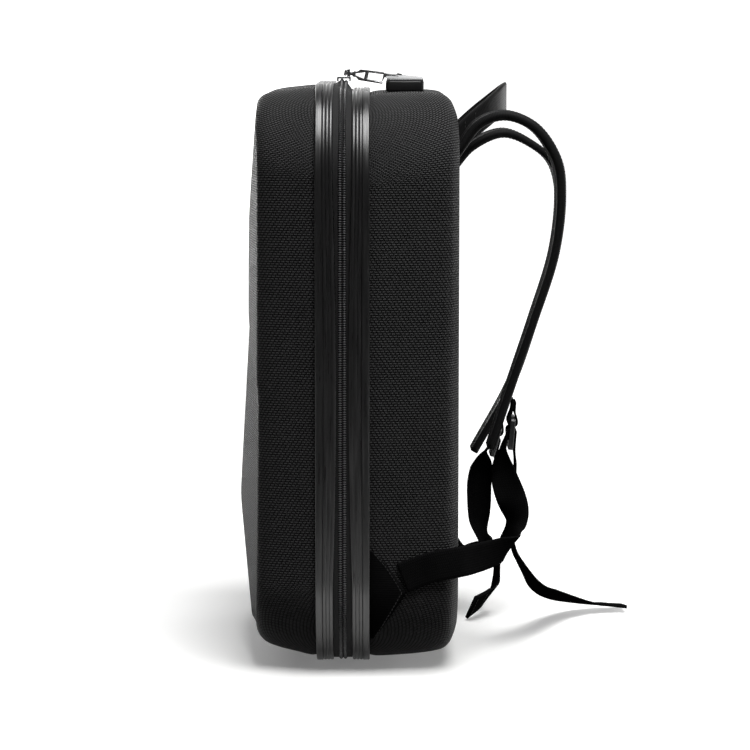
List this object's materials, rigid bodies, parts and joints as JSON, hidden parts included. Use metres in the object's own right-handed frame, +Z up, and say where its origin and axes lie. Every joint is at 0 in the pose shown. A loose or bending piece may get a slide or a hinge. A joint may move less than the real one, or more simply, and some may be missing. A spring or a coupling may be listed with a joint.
{
  "type": "hard-shell backpack",
  "caption": "Moulded hard-shell backpack with a faceted front, ribbed rims round a closed zip, a dial lock on top, padded shoulder straps and loose webbing; carries a game console on the back.",
  "frame": {"origin": "on the floor, on the rear rim's flat land, at the middle of the bag's width", "axes": "+Z up, -Y towards the bag's front, +X towards the wearer's right"},
  "size_m": [0.33, 0.3453, 0.4916],
  "materials": {
    "shell_cloth": "black woven cloth bonded to moulded foam board, fine diagonal weave",
    "rim_trim": "glossy black extruded trim with fine ribs",
    "zip_tape": "dark woven zip tape",
    "zip_coil": "grey moulded coil teeth",
    "chrome": "polished zinc casting",
    "lock_black": "black moulded plastic",
    "lock_silver": "satin silver cover",
    "strap_cloth": "black padded mesh with bound edges",
    "webbing": "black ribbed nylon webbing",
    "buckle_plastic": "black moulded plastic"
  },
  "bodies": {
    "bag": {"front_shell": "shell_cloth", "rear_shell": "shell_cloth", "front_rim": "rim_trim", "rear_rim": "rim_trim", "zip_tape": "zip_tape", "zip_coil": "zip_coil", "slider_right": "chrome", "slider_left": "chrome", "pull_right": "chrome", "pull_left": "chrome", "lock_body": "lock_black", "lock_cover": "lock_silver", "lock_pin": "chrome", "haul_handle": "webbing", "shoulder_strap_right": "strap_cloth", "shoulder_strap_left": "strap_cloth", "buckle_right": "buckle_plastic", "buckle_left": "buckle_plastic", "buckle_loop_right": "webbing", "buckle_loop_left": "webbing", "webbing_right": "webbing", "webbing_left": "webbing", "anchor_tab_right": "webbing", "anchor_tab_left": "webbing"},
    "dial_1": {"lock_dial_1": "lock_black"},
    "dial_2": {"lock_dial_2": "lock_black"},
    "dial_3": {"lock_dial_3": "lock_black"}
  },
  "joints": [
    {"name": "dial_1_turn", "type": "hinge", "parent": "bag", "child": "dial_1", "pos_m": [-0.0086, 0.0276, 0.4833], "axis": [1, 0, 0], "continuous": true},
    {"name": "dial_2_turn", "type": "hinge", "parent": "bag", "child": "dial_2", "pos_m": [0, 0.0276, 0.4833], "axis": [1, 0, 0], "continuous": true},
    {"name": "dial_3_turn", "type": "hinge", "parent": "bag", "child": "dial_3", "pos_m": [0.0086, 0.0276, 0.4833], "axis": [1, 0, 0], "continuous": true}
  ]
}
